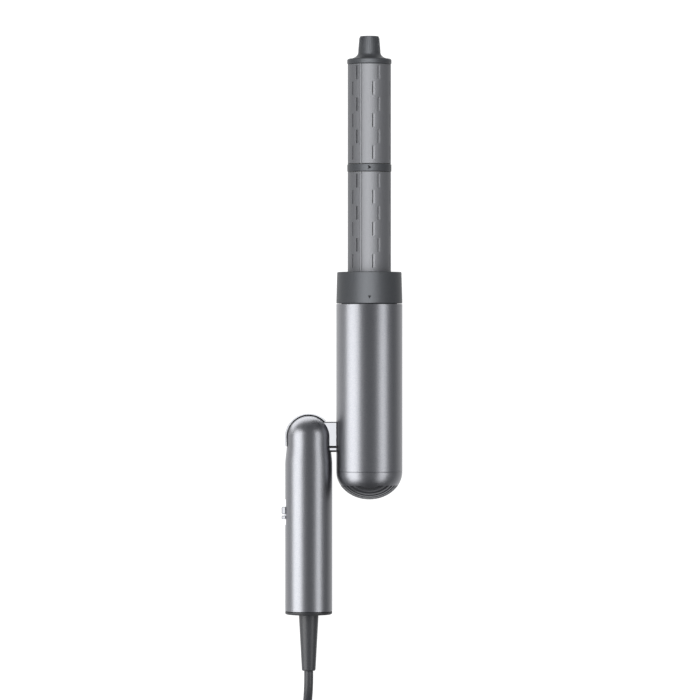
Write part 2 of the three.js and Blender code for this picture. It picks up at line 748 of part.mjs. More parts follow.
const LEAD_ROUTE = [
  [0, -162.7, 16.35],
  [0, -166, 16.35],
  [0, -171, 16],
  [0, -176, 14.8],
  [0, -181, 12.6],
  [0, -185.4, 9.8],
  [0, -190, 6.9],
  [0.3, -195, 4.8],
  [1.1, -200, 3.6],
  [2.6, -205, 3.25],
  [4.6, -210, 3.25],
  [7.2, -215, 3.25],
  [9.8, -219, 3.25],
  [12.8, -223.5, 3.25],
  [15.4, -228.5, 3.25],
  [17.4, -233.5, 3.25],
  [18.8, -239, 3.5],
  [19.5, -243.5, 3.9],
  [19.6, -246.1, 4.1],
];
const TAIL_ROUTE = [
  [26, -350.6, 17.1],
  [28.3, -354.8, 16.6],
  [30.3, -359.2, 15.1],
  [31.9, -363.8, 12.9],
  [33, -368.6, 10.7],
  [33.7, -373.4, 9.2],
  [34, -378.2, 8.6],
  [34, -382.7, 8.5],
];

// A stretch of the lead, with a step about every diameter because most of it bends.
function lead(route, steps) {
  return sweep(new THREE.CatmullRomCurve3(route.map((p) => new THREE.Vector3(...p))), CORD_R, steps, 10);
}

// Half the hank's width at a distance t from its waist, where t is 1 at the end folds.
const waist = (full, t) => full - (HANK.pinch * (1 + Math.cos(Math.PI * t))) / 2;

// The outer shape of the folded lead: two round ends and a waist where the tie draws it in.
function hankOutline(full) {
  const half = HANK.run / 2;
  const middle = HANK.top - half;
  const steps = 12;
  const side = (sign, from) =>
    Array.from({ length: steps - 1 }, (_, i) => {
      const t = from * (1 - (2 * (i + 1)) / steps);
      return [HANK.x + sign * waist(full, t), middle + t * half];
    });
  return [
    ...arc(HANK.x, HANK.top, full, full, 0, 180, 14),
    ...side(-1, 1),
    ...arc(HANK.x, HANK.top - HANK.run, full, full, 180, 360, 14),
    ...side(1, -1),
  ];
}

function leadHank() {
  const outline = hankOutline(OUTER_RUN + CORD_R);
  return plate(new THREE.Shape(outline.map(([x, y]) => new THREE.Vector2(x, y))), HANK.bottom, HANK.height);
}

// A band round the hank's waist.
function hankTie() {
  const half = waist(OUTER_RUN + CORD_R, 0);
  const middle = HANK.top - HANK.run / 2;
  const { thick, length, clear } = TIE;
  const outer = block(
    [HANK.x - half - clear - thick, middle - length / 2, HANK.bottom - GAP - thick],
    [HANK.x + half + clear + thick, middle + length / 2, HANK.height + GAP + thick],
  );
  const inner = block(
    [HANK.x - half - clear, middle - length, HANK.bottom - GAP],
    [HANK.x + half + clear, middle + length, HANK.height + GAP],
  );
  return cut(outer, [inner]);
}

function plugBody() {
  const half = PLUG.width / 2;
  const bottom = PLUG.top - PLUG.length;
  const shape = new THREE.Shape(
    [
      [-PLUG_NECK.endHalf, PLUG.top],
      [-PLUG_NECK.half, PLUG.top - PLUG_NECK.length],
      [-half, PLUG.top - PLUG_NECK.shoulder],
      [-half, bottom + PLUG.edge],
      [-half + PLUG.edge, bottom],
      [half - PLUG.edge, bottom],
      [half, bottom + PLUG.edge],
      [half, PLUG.top - PLUG_NECK.shoulder],
      [PLUG_NECK.half, PLUG.top - PLUG_NECK.length],
      [PLUG_NECK.endHalf, PLUG.top],
    ].map(([x, y]) => new THREE.Vector2(PLUG.x + x, y)),
  );
  return plate(shape, PLUG.bottom, PLUG.height);
}

function plugPin(side) {
  const x = PLUG.x + (side * PIN.spacing) / 2;
  const top = PLUG.top - PLUG.length - GAP;
  const middle = PLUG.height / 2;
  return block(
    [x - PIN.thick / 2, top - PIN.length, middle - PIN.height / 2],
    [x + PIN.thick / 2, top, middle + PIN.height / 2],
  );
}

// ---- assembly ----

const handle = group(
  piece("handle_tube", handleTube(), SILVER()),
  piece("dome_trim", domeTrim(), CHROME()),
  piece("handle_end_cap", endCap(), DARK_PLASTIC()),
  piece("strain_relief", strainRelief(), PVC()),
  piece("cord_clamp_base", cordClampBase(), NYLON()),
  piece("cord_clamp", cordClamp(), NYLON()),
  piece("clamp_screw_left", clampScrew(-1), STEEL()),
  piece("clamp_screw_right", clampScrew(1), STEEL()),
  piece("switch_bezel", switchBezel(), DARK_PLASTIC()),
  piece("slide_knob", slideKnob(), CHROME()),
  piece("switch_body", switchBody(), DARK_PLASTIC()),
  piece("control_board", controlBoard(), BOARD()),
  piece("suppression_capacitor", suppressionCapacitor(), BRASS()),
  piece("heat_sink", heatSink(), STEEL()),
  piece("hinge_harness", harness(), PVC()),
  piece("hinge_housing", hingeHousing(), NYLON()),
  piece("hinge_bush", hingeBush(), BRASS()),
  piece("hinge_wave_washer", waveWasher(), STEEL()),
  piece("hinge_neck", hingeNeck(), CHROME()),
);

const hinge = group(
  piece("hinge_axle", hingeAxle(), STEEL()),
  piece("hinge_retaining_ring", retainingRing(), STEEL()),
  piece("hinge_flange", hingeFlange(), STEEL()),
);

const blower = group(
  piece("blower_tube", blowerTube(), SILVER()),
  piece("inlet_cap", inletCap(), SILVER()),
  piece("inlet_filter", inletFilter(), STEEL()),
  piece("motor_mount", motorMount(), RUBBER()),
  piece("motor_housing", motorHousing(), STEEL()),
  piece("motor_stator", stator(), BRASS()),
  piece("lower_bearing", bearing(BEARING.lower), STEEL()),
  piece("upper_bearing", bearing(BEARING.upper), STEEL()),
  piece("bearing_spider", spider(SPOKES), DARK_PLASTIC()),
  piece("diffuser_vanes", spider(VANES), DARK_PLASTIC()),
  piece("rotor_shaft", rotorShaft(), STEEL()),
  piece("rotor_magnet", rotorMagnet(), STEEL()),
  piece("impeller", impeller(), DARK_PLASTIC()),
  piece("heater_sleeve", heaterSleeve(), MICA()),
  piece("heater_frame", heaterFrame(), MICA()),
  piece("heater_coil", heaterCoil(), STEEL()),
  piece("thermal_cutout", thermalCutout(), STEEL()),
  piece("outlet_nose", outletNose(), DARK_PLASTIC()),
  piece("outlet_grille", outletGrille(), DARK_PLASTIC()),
  piece("nose_seal_ring", sealRing(), RUBBER()),
);

const attachment = group(
  piece("attachment_collar", collar(), GREY_PLASTIC()),
  piece("lower_barrel", lowerBarrel(), BARREL_COAT()),
  piece("barrel_ring", barrelRing(), GREY_PLASTIC()),
  piece("upper_barrel", upperBarrel(), BARREL_COAT()),
  piece("diverter_sleeve", diverterSleeve(), NYLON()),
  piece("cool_tip", coolTip(), GREY_PLASTIC()),
);

blower.position.x = AXES_APART;
attachment.position.x = AXES_APART;

const device = group(handle, hinge, blower, attachment);
device.rotation.y = -Math.asin((BLOWER_R - HANDLE_R) / AXES_APART);
device.position.z = HANDLE_R;

const mainsLead = group(
  piece("mains_lead", lead(LEAD_ROUTE, 18), PVC()),
  piece("lead_hank", leadHank(), PVC()),
  piece("hank_tie", hankTie(), RUBBER()),
  piece("lead_tail", lead(TAIL_ROUTE, 8), PVC()),
  piece("plug_body", plugBody(), PVC()),
  piece("plug_pin_left", plugPin(-1), BRASS()),
  piece("plug_pin_right", plugPin(1), BRASS()),
);

// The device stands with the middle of its footprint on the origin.
const footprint = new THREE.Box3().setFromObject(device, true);
const part = group(device, mainsLead);
part.position.set(-(footprint.min.x + footprint.max.x) / 2, -(footprint.min.y + footprint.max.y) / 2, 0);

export default part;
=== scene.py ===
import math

import bmesh
import bpy
from mathutils import Matrix, Vector


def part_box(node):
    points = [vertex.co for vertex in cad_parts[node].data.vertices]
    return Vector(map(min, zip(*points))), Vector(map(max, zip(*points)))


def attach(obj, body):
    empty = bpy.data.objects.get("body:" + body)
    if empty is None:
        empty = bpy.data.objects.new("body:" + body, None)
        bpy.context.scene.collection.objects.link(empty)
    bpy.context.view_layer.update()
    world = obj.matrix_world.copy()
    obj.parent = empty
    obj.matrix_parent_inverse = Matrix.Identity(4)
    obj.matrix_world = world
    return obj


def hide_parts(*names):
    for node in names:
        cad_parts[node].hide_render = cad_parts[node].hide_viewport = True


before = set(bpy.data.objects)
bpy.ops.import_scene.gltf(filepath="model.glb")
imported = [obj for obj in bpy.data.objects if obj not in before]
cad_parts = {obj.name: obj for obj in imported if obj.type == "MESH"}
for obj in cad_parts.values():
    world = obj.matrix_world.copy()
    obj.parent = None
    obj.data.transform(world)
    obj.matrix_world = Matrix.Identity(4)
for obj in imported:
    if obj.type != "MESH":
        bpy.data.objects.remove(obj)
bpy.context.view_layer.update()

MM = 0.001


def middle(name):
    """The centre of a frame node's box, in metres."""
    low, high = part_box(name)
    return (Vector(low) + Vector(high)) / 2


# ---- where things are, from the frame ----

HANDLE_AXIS = middle("handle_tube")
BLOWER_AXIS = middle("blower_tube")
HINGE_Y = middle("hinge_neck").y
ACROSS = Vector((BLOWER_AXIS.x - HANDLE_AXIS.x, 0, BLOWER_AXIS.z - HANDLE_AXIS.z))
AXES_APART = ACROSS.length / MM
U_AXIS = ACROSS.normalized()
V_AXIS = Vector((0, 1, 0))
W_AXIS = U_AXIS.cross(V_AXIS)


def device(u=0.0, v=0.0, w=0.0):
    """A point of the device, in metres in the row frame."""
    hinge = Vector((HANDLE_AXIS.x, HINGE_Y, HANDLE_AXIS.z))
    return hinge + (U_AXIS * u + V_AXIS * v + W_AXIS * w) * MM


def seat(u=0.0):
    """The matrix that moves a piece drawn in millimetres about the V axis to a distance u in the device."""
    turn = Matrix((U_AXIS, V_AXIS, W_AXIS)).transposed().to_4x4()
    return Matrix.Translation(device(u)) @ turn @ Matrix.Scale(MM, 4)


HANDLE_SEAT = seat()
BLOWER_SEAT = seat(AXES_APART)
TABLE_SEAT = Matrix.Translation((HANDLE_AXIS.x, HINGE_Y, 0)) @ Matrix.Scale(MM, 4)

# ---- driving sizes: radii, and heights along V ----

HANDLE_R = 16.35
HANDLE_WALL = 1.8
HANDLE_FOOT = -121.0
DOME_R = 15.25
BLOWER_R = 22.95
BLOWER_TOP = 92.2
BARREL_R = 15.0
BARREL_INNER_R = 13.8
LEAD_R = 3.2
BOOT_END = -162.4

# ---- materials ----


def linear(code):
    """An sRGB hex colour as linear RGBA."""
    parts = [int(code[i : i + 2], 16) / 255 for i in (1, 3, 5)]
    return (*[c / 12.92 if c <= 0.04045 else ((c + 0.055) / 1.055) ** 2.4 for c in parts], 1.0)


def new_material(name, **settings):
    """A material with one Principled shader, set by its socket names, with _ for a space."""
    made = bpy.data.materials.new(name)
    made.use_nodes = True
    shader = made.node_tree.nodes["Principled BSDF"]
    for key, value in settings.items():
        shader.inputs[key.replace("_", " ")].default_value = value
    return made, made.node_tree, shader


def node(tree, kind, links=None, **settings):
    """Adds a node. A setting is an input where its name is one, or an attribute. Links go from a socket to an
    input."""
    made = tree.nodes.new(kind)
    for key, value in settings.items():
        name = key.replace("_", " ")
        if name in made.inputs:
            made.inputs[name].default_value = value
        else:
            setattr(made, key, value)
    for name, source in (links or {}).items():
        tree.links.new(source, made.inputs[name])
    return made


def position(tree):
    """The piece's own coordinates, in metres."""
    return node(tree, "ShaderNodeTexCoord").outputs["Object"]


def grain_size(mm):
    """A noise scale whose features are about this many millimetres across."""
    return 1 / (mm * MM)


def blend_colours(tree, factor, low, high):
    """Runs from one colour to another as the factor goes from 0.35 to 0.65."""
    ramp = node(tree, "ShaderNodeValToRGB", {"Fac": factor})
    ramp.color_ramp.elements[0].position = 0.35
    ramp.color_ramp.elements[0].color = linear(low)
    ramp.color_ramp.elements[1].position = 0.65
    ramp.color_ramp.elements[1].color = linear(high)
    return ramp.outputs["Color"]


def map_range(tree, value, low, high, start=0.0, end=1.0):
    """A value moved from one range to another."""
    made = node(tree, "ShaderNodeMapRange", {"Value": value})
    made.inputs["From Min"].default_value = start
    made.inputs["From Max"].default_value = end
    made.inputs["To Min"].default_value = low
    made.inputs["To Max"].default_value = high
    return made.outputs["Result"]


def bump(tree, shader, height, distance_mm, strength):
    """Roughens the surface's shading by a height this many millimetres deep."""
    made = node(tree, "ShaderNodeBump", {"Height": height}, Strength=strength, Distance=distance_mm * MM)
    tree.links.new(made.outputs["Normal"], shader.inputs["Normal"])


def metallic_lacquer():
    """Silver lacquer with metal flake, sprayed on aluminium: a satin sheen that sparkles when close."""
    made, tree, shader = new_material("metallic_lacquer", Metallic=1.0, Roughness=0.27)
    flake = node(tree, "ShaderNodeTexVoronoi", {"Vector": position(tree)}, Scale=grain_size(0.35))
    cloud = node(tree, "ShaderNodeTexNoise", {"Vector": position(tree)}, Scale=grain_size(0.5), Detail=2.0)
    colour = blend_colours(tree, cloud.outputs["Fac"], "#86878b", "#949599")
    tree.links.new(colour, shader.inputs["Base Color"])
    tree.links.new(map_range(tree, flake.outputs["Distance"], 0.33, 0.39), shader.inputs["Roughness"])
    bump(tree, shader, cloud.outputs["Fac"], 0.01, 0.12)
    return made


def satin_steel():
    """Plated trim with a satin finish: as bright as the panels over it, with only the faintest smear."""
    made, tree, shader = new_material("satin_plated_steel", Metallic=1.0)
    shader.inputs["Base Color"].default_value = linear("#8c8d90")
    smear = node(tree, "ShaderNodeTexNoise", {"Vector": position(tree)}, Scale=grain_size(6), Detail=3.0)
    tree.links.new(map_range(tree, smear.outputs["Fac"], 0.2, 0.28), shader.inputs["Roughness"])
    return made


def ceramic_coating():
    """Ceramic coating baked on an aluminium barrel: a dull, even grey metal with a very fine tooth."""
    made, tree, shader = new_material("ceramic_coating", Metallic=0.85)
    tooth = node(tree, "ShaderNodeTexNoise", {"Vector": position(tree)}, Scale=grain_size(0.3), Detail=3.0)
    colour = blend_colours(tree, tooth.outputs["Fac"], "#808184", "#8a8b8e")
    tree.links.new(colour, shader.inputs["Base Color"])
    tree.links.new(map_range(tree, tooth.outputs["Fac"], 0.54, 0.62), shader.inputs["Roughness"])
    bump(tree, shader, tooth.outputs["Fac"], 0.02, 0.12)
    return made


def graphite_lacquer():
    """Graphite lacquer with fine metal flake on moulded nylon: a wide sheen that dies away to the sides."""
    made, tree, shader = new_material("graphite_lacquer", Metallic=0.75)
    tooth = node(tree, "ShaderNodeTexNoise", {"Vector": position(tree)}, Scale=grain_size(0.3), Detail=3.0)
    colour = blend_colours(tree, tooth.outputs["Fac"], "#56585b", "#5f6164")
    tree.links.new(colour, shader.inputs["Base Color"])
    tree.links.new(map_range(tree, tooth.outputs["Fac"], 0.46, 0.54), shader.inputs["Roughness"])
    bump(tree, shader, tooth.outputs["Fac"], 0.015, 0.15)
    return made


def moulded_plastic(name, low, high, roughness, texture_mm, depth_mm):
    """Injection-moulded plastic with an eroded mould texture: even and matt, with a fine tooth."""
    made, tree, shader = new_material(name, IOR=1.5)
    grain = grain_size(texture_mm)
    tooth = node(tree, "ShaderNodeTexNoise", {"Vector": position(tree)}, Scale=grain, Detail=4.0)
    tree.links.new(blend_colours(tree, tooth.outputs["Fac"], low, high), shader.inputs["Base Color"])
    spread = map_range(tree, tooth.outputs["Fac"], roughness - 0.05, roughness + 0.05)
    tree.links.new(spread, shader.inputs["Roughness"])
    bump(tree, shader, tooth.outputs["Fac"], depth_mm, 0.3)
    return made


def turned_metal(name, low, high, roughness):
    """Machined or drawn metal that nobody polished: fine scratches and a slight change of tone."""
    made, tree, shader = new_material(name, Metallic=1.0)
    stretched = node(tree, "ShaderNodeMapping", {"Vector": position(tree)}, Scale=(1.0, 6.0, 1.0))
    scratch = node(
        tree, "ShaderNodeTexNoise", {"Vector": stretched.outputs["Vector"]}, Scale=grain_size(0.8), Detail=4.0
    )
    tree.links.new(blend_colours(tree, scratch.outputs["Fac"], low, high), shader.inputs["Base Color"])
    spread = map_range(tree, scratch.outputs["Fac"], roughness - 0.06, roughness + 0.08)
    tree.links.new(spread, shader.inputs["Roughness"])
    return made


LACQUER = metallic_lacquer()
SATIN_STEEL = satin_steel()
BARREL_COAT = ceramic_coating()
GREY_LACQUER = graphite_lacquer()
# ABS, moulded: charcoal and softly shiny.
CHARCOAL_ABS = moulded_plastic("charcoal_abs", "#2b2c2f", "#333437", 0.45, 0.4, 0.015)
# Flexible PVC, extruded or moulded on: dark grey and silky.
SOFT_PVC = moulded_plastic("soft_grey_pvc", "#3a3b3e", "#434447", 0.42, 0.6, 0.01)
BLACK_RUBBER = moulded_plastic("black_rubber", "#141416", "#1d1d20", 0.7, 0.3, 0.02)
WHITE_NYLON = moulded_plastic("white_nylon", "#cfcdc4", "#dad8d0", 0.5, 0.5, 0.01)
MICA_SHEET = moulded_plastic("pressed_mica", "#a08d6a", "#c4b594", 0.6, 1.2, 0.05)
SOLDER_MASK = moulded_plastic("green_solder_mask", "#1f4a30", "#2a5c3c", 0.35, 2.0, 0.01)
BRIGHT_STEEL = turned_metal("bright_steel", "#a9abae", "#c6c8cb", 0.3)
YELLOW_BRASS = turned_metal("yellow_brass", "#b8944a", "#d0ad62", 0.25)
PRINT_INK = moulded_plastic("pad_print_ink", "#1a1a1c", "#222225", 0.5, 0.3, 0.005)

# ---- mesh helpers ----


MERGE = 0.002  # points nearer than this are one point
CUT_MERGE = 1e-6  # the same for a cut piece, in metres
SOFT_ANGLE = 35.0  # degrees up to which an edge is shaded smooth


def smooth_edges(bm, soft_angle):
    """Shades the faces smooth, apart from the edges that turn more than an angle in degrees."""
    for face in bm.faces:
        face.smooth = True
    for edge in bm.edges:
        if len(edge.link_faces) == 2:
            edge.smooth = edge.calc_face_angle(0.0) < math.radians(soft_angle)


def finish_piece(bm, name, material, seat_matrix, body, replaced=(), soft_angle=SOFT_ANGLE):
    """Puts a drawn piece in its place, smooths it up to an angle, and makes it ride on a body."""
    bmesh.ops.remove_doubles(bm, verts=bm.verts, dist=MERGE)
    bmesh.ops.recalc_face_normals(bm, faces=bm.faces)
    bmesh.ops.transform(bm, matrix=seat_matrix, verts=bm.verts)
    smooth_edges(bm, soft_angle)
    mesh = bpy.data.meshes.new(name)
    bm.to_mesh(mesh)
    bm.free()
    mesh.materials.append(material)
    made = bpy.data.objects.new(name, mesh)
    bpy.context.collection.objects.link(made)
    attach(made, body)
    if replaced:
        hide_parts(*replaced)
    grey = name in GREY_PIECES or (body in GREY_BODIES and name not in PRINTED_MARKS)
    (GREY_GROUP if grey else SILVER_GROUP).objects.link(made)
    if name in DOME_PIECES:
        DOME_GROUP.objects.link(made)
    return made


def spun(outline, steps=96, start=(1, 0, 0)):
    """A solid of revolution about the V axis from [radius, height] points. It is closed if the outline is a
    loop or ends on the axis."""
    bm = bmesh.new()
    out = Vector(start)
    up = Vector((0, 1, 0))
    verts = [bm.verts.new(out * r + up * h) for r, h in outline]
    edges = [bm.edges.new(pair) for pair in zip(verts, verts[1:])]
    bmesh.ops.spin(
        bm, geom=verts + edges, cent=(0, 0, 0), axis=up, angle=math.tau, steps=steps, use_merge=True
    )
    bmesh.ops.remove_doubles(bm, verts=bm.verts, dist=MERGE)
    bmesh.ops.recalc_face_normals(bm, faces=bm.faces)
    return bm


def loop_of(outline):
    """The outline with its first point again at its end."""
    return [*outline, outline[0]]


def arc(cx, cy, rx, ry, a0, a1, steps):
    """Points on an arc about (cx, cy), from angle a0 to a1 in degrees, both ends included."""
    angles = [math.radians(a0 + (a1 - a0) * i / steps) for i in range(steps + 1)]
    return [(cx + rx * math.cos(a), cy + ry * math.sin(a)) for a in angles]


def rounded(outline, radius, steps=3):
    """An open outline with its corners cut to arcs of about this radius."""
    points = [Vector(p) for p in outline]
    made = [points[0]]
    for i in range(1, len(points) - 1):
        before, here, after = points[i - 1], points[i], points[i + 1]
        reach = min(radius, (here - before).length * 0.45, (after - here).length * 0.45)
        a = here + (before - here).normalized() * reach
        b = here + (after - here).normalized() * reach
        for k in range(steps + 1):
            t = k / steps
            made.append(a * (1 - t) ** 2 + here * 2 * t * (1 - t) + b * t**2)
    made.append(points[-1])
    return [tuple(p) for p in made]


def boxed(bm, low, high, bevel=0.0, segments=2):
    """Adds a box between two corners, with rounded edges if asked."""
    size = Vector(high) - Vector(low)
    centre = (Vector(high) + Vector(low)) / 2
    place = Matrix.Translation(centre) @ Matrix.Diagonal((*size, 1))
    made = bmesh.ops.create_cube(bm, size=1.0, matrix=place)
    if bevel:
        edges = {e for v in made["verts"] for e in v.link_edges}
        bmesh.ops.bevel(
            bm, geom=list(edges), offset=bevel, affect="EDGES", segments=segments, profile=0.5, material=-1
        )


def slab(outline, z0, z1, bevel=0.0):
    """A flat outline in UV made into a plate from z0 to z1, with its rims rounded if asked."""
    bm = bmesh.new()
    face = bm.faces.new([bm.verts.new((x, y, z0)) for x, y in outline])
    made = bmesh.ops.extrude_face_region(bm, geom=[face])
    top = [v for v in made["geom"] if isinstance(v, bmesh.types.BMVert)]
    bmesh.ops.translate(bm, verts=top, vec=(0, 0, z1 - z0))
    bmesh.ops.recalc_face_normals(bm, faces=bm.faces)
    if bevel:
        rims = [e for e in bm.edges if abs(e.verts[0].co.z - e.verts[1].co.z) < 1e-6]
        bmesh.ops.bevel(bm, geom=rims, offset=bevel, affect="EDGES", segments=2, profile=0.5, material=-1)
    return bm


def turn_about_v(bm, degrees):
    """Turns a drawn piece about the V axis."""
    turn = Matrix.Rotation(math.radians(degrees), 3, "Y")
    bmesh.ops.rotate(bm, verts=bm.verts, cent=(0, 0, 0), matrix=turn)


def carve(piece, cutter_bm, seat_matrix, cut_material=None):
    """Cuts a drawn cutter, put in its place, out of a piece, and keeps the result as the piece's mesh."""
    bmesh.ops.transform(cutter_bm, matrix=seat_matrix, verts=cutter_bm.verts)
    mesh = bpy.data.meshes.new("cutter")
    cutter_bm.to_mesh(mesh)
    cutter_bm.free()
    mesh.materials.append(cut_material or piece.data.materials[0])
    cutter = bpy.data.objects.new("cutter", mesh)
    bpy.context.collection.objects.link(cutter)
    modifier = piece.modifiers.new("cut", "BOOLEAN")
    modifier.operation = "DIFFERENCE"
    modifier.solver = "EXACT"
    modifier.material_mode = "TRANSFER"
    modifier.object = cutter
    graph = bpy.context.evaluated_depsgraph_get()
    cut_mesh = bpy.data.meshes.new_from_object(piece.evaluated_get(graph))
    piece.modifiers.clear()
    bm = bmesh.new()
    bm.from_mesh(cut_mesh)
    bmesh.ops.remove_doubles(bm, verts=bm.verts, dist=CUT_MERGE)
    smooth_edges(bm, SOFT_ANGLE)
    bm.to_mesh(piece.data)
    bm.free()
    if cut_material:
        piece.data.materials.append(cut_material)
    bpy.data.objects.remove(cutter)
    bpy.data.meshes.remove(mesh)
    bpy.data.meshes.remove(cut_mesh)


# ---- camera and studio ----

# Each half of the device has its own panels: the mirror-like silver half, and the dull grey curler. The
# bright flat pieces are lit as the curler is. The marks printed on the curler are lit as the silver half is,
# so that they stay dark.
SILVER_GROUP = bpy.data.collections.new("silver_half")
GREY_GROUP = bpy.data.collections.new("grey_half")
GREY_BODIES = ("curler", "tip")
GREY_PIECES = ("hinge_arm", "hinge_arm_lip", "thumb_slide", "dome_band")
PRINTED_MARKS = ("collar_mark", "curl_arrow")
TABLE_GROUP = bpy.data.collections.new("table")
DOME_GROUP = bpy.data.collections.new("handle_dome")
DOME_PIECES = ("handle_shell", "dome_band")

VIEW_WIDTH = 486.1  # of the device's plane, across the view
CAMERA_AWAY = 3.0  # metres
SENSOR = 36.0
VIEW_CENTRE = device(28.68, 60.28)
PANEL_AWAY = 0.6  # metres
PANEL_U = 28


def make_camera():
    """The camera looks straight down at the flat side of the device."""
    data = bpy.data.cameras.new("camera")
    data.sensor_width = SENSOR
    data.lens = SENSOR * CAMERA_AWAY / (VIEW_WIDTH * MM)
    data.clip_end = 20
    made = bpy.data.objects.new("camera", data)
    bpy.context.collection.objects.link(made)
    turn = Matrix((U_AXIS, V_AXIS, W_AXIS)).transposed().to_4x4()
    made.matrix_world = Matrix.Translation(VIEW_CENTRE + W_AXIS * CAMERA_AWAY) @ turn
    bpy.context.scene.camera = made


def lit_panel(name, width, length, radiance, lit):
    """A rectangle of light, in metres, that shines on one group of pieces and isn't itself seen."""
    data = bpy.data.lights.new(name, "AREA")
    data.shape = "RECTANGLE"
    data.size = width
    data.size_y = length
    data.energy = radiance * width * length * math.pi
    made = bpy.data.objects.new(name, data)
    bpy.context.collection.objects.link(made)
    made.light_linking.receiver_collection = lit
    made.visible_camera = False
    return made


def soft_light(name, degrees_right, spread, bottom, top, radiance, lit):
    """A soft panel over the device, facing it. It stands at an angle to the right of the W axis, spreads over
    an angle across the device, and runs along it from one V to another."""
    width = 2 * PANEL_AWAY * math.tan(math.radians(spread / 2))
    made = lit_panel(name, width, (top - bottom) * MM, radiance, lit)
    angle = math.radians(degrees_right)
    out = U_AXIS * math.sin(angle) + W_AXIS * math.cos(angle)
    side = V_AXIS.cross(out)
    turn = Matrix((side, V_AXIS, out)).transposed().to_4x4()
    made.matrix_world = Matrix.Translation(device(PANEL_U, (bottom + top) / 2) + out * PANEL_AWAY) @ turn


def dome_light():
    """A strip of the lit table past the handle's dome, which brightens the dome's crown. Sizes in metres."""
    width, length, past_hinge, over_table = 0.16, 0.5, 0.018, 0.0015
    made = lit_panel("dome_strip", width, length, 2.2, DOME_GROUP)
    upward = Matrix.Rotation(math.pi, 4, "X")
    place = (HANDLE_AXIS.x, HINGE_Y + past_hinge + length / 2, over_table)
    made.matrix_world = Matrix.Translation(place) @ upward


def table_light():
    """A very soft light from above the device's left, for the table alone."""
    data = bpy.data.lights.new("table_glow", "SUN")
    data.energy = 2.2
    data.angle = math.radians(70)
    made = bpy.data.objects.new("table_glow", data)
    bpy.context.collection.objects.link(made)
    made.matrix_world = Matrix.Rotation(math.radians(-25), 4, "Y")
    made.light_linking.receiver_collection = TABLE_GROUP


def make_studio():
    """A grey room that is dimmer behind the device's foot, its soft lights, and the lit table."""
    world = bpy.data.worlds.new("grey_studio")
    bpy.context.scene.world = world
    world.use_nodes = True
    tree = world.node_tree
    glow = tree.nodes["Background"]
    glow.inputs["Color"].default_value = linear("#818285")
    towards = node(tree, "ShaderNodeTexCoord").outputs["Generated"]
    along = node(tree, "ShaderNodeSeparateXYZ", {"Vector": towards}).outputs["Y"]
    strength = map_range(tree, along, low=0.35, high=1.0, start=-0.9, end=-0.3)
    tree.links.new(strength, glow.inputs["Strength"])
    soft_light("left_panel", -59, spread=47, bottom=-520, top=320, radiance=3.45, lit=SILVER_GROUP)
    soft_light("right_panel", 48, spread=26, bottom=-520, top=320, radiance=2.5, lit=SILVER_GROUP)
    soft_light("top_panel", -7, spread=58, bottom=-900, top=900, radiance=2.9, lit=GREY_GROUP)
    soft_light("low_panel", -68, spread=24, bottom=-300, top=500, radiance=0.35, lit=GREY_GROUP)
    dome_light()
    table_light()
    mesh = bpy.data.meshes.new("table_top")
    bm = bmesh.new()
    bmesh.ops.create_grid(bm, x_segments=1, y_segments=1, size=6)
    bm.to_mesh(mesh)
    bm.free()
    floor = bpy.data.objects.new("table_top", mesh)
    bpy.context.collection.objects.link(floor)
    TABLE_GROUP.objects.link(floor)
    mesh.materials.append(light_table())
    scene = bpy.context.scene
    scene.view_settings.view_transform = "Standard"
    scene.view_settings.look = "None"


def light_table():
    """White acrylic lit from below through a film that throws the light straight up: dimmer when seen low."""
    made, tree, shader = new_material("lit_white_acrylic", Roughness=0.9)
    shader.inputs["Base Color"].default_value = linear("#8a8a8a")
    shader.inputs["Emission Color"].default_value = (1, 1, 1, 1)
    facing = node(tree, "ShaderNodeLayerWeight", Blend=0.5).outputs["Facing"]
    tree.links.new(map_range(tree, facing, 1.0, 0.0), shader.inputs["Emission Strength"])
    return made


make_camera()
make_studio()

# ---- mains lead, drawn on the table: x from the handle's axis, y as V, z from the table ----

LEAD_ROUTE = [
    (0, BOOT_END - 0.3, HANDLE_R),
    (0, -166, HANDLE_R),
    (0, -171, 16),
    (0, -176, 14.8),
    (0, -181, 12.6),
    (0, -185.4, 9.8),
    (0, -190, 6.9),
    (0.3, -195, 4.8),
    (1.1, -200, 3.6),
    (2.6, -205, 3.25),
    (4.6, -210, 3.25),
    (7.2, -215, 3.25),
    (9.8, -219, 3.25),
    (12.8, -223.5, 3.25),
    (15.4, -228.5, 3.25),
    (17.4, -233.5, 3.25),
    (18.8, -239, 3.5),
    (19.5, -243.5, 3.9),
    (19.6, -246.1, 4.1),
]
TAIL_ROUTE = [
    (26, -350.6, 17.1),
    (28.3, -354.8, 16.6),
    (30.3, -359.2, 15.1),
    (31.9, -363.8, 12.9),
    (33, -368.6, 10.7),
    (33.7, -373.4, 9.2),
    (34, -378.2, 8.6),
    (34, -382.7, 8.5),
]
HANK_X = -6.0
HANK_TOP = -264.6
HANK_RUN = 82.0
HANK_PINCH = 14.5
LANES = {"inner": 19.2, "outer": 25.6}
LAYERS = (4.35, 10.8, 17.25)
# The lead's turns in the hank, each as its lane and its layer; the last is only half a turn.
TURNS = [("outer", 0), ("inner", 0), ("inner", 1), ("outer", 1), ("inner", 2), ("outer", 2)]
RUN_STEPS = 16
FOLD_STEPS = 12


def ease(t):
    """Runs from 0 to 1 with t, level at both ends."""
    t = max(0.0, min(1.0, t))
    return t * t * (3 - 2 * t)


def hank_run(lane, layer, side, share=1.0):
    """The points of one run, from its top down on the right side, or from its bottom up on the left."""
    half = HANK_RUN / 2
    points = []
    for i in range(int(RUN_STEPS * share) + 1):
        t = 1 - 2 * i / RUN_STEPS
        reach = LANES[lane] - HANK_PINCH * (1 + math.cos(math.pi * t)) / 2
        points.append((HANK_X + side * reach, HANK_TOP - half + side * t * half, LAYERS[layer]))
    return points


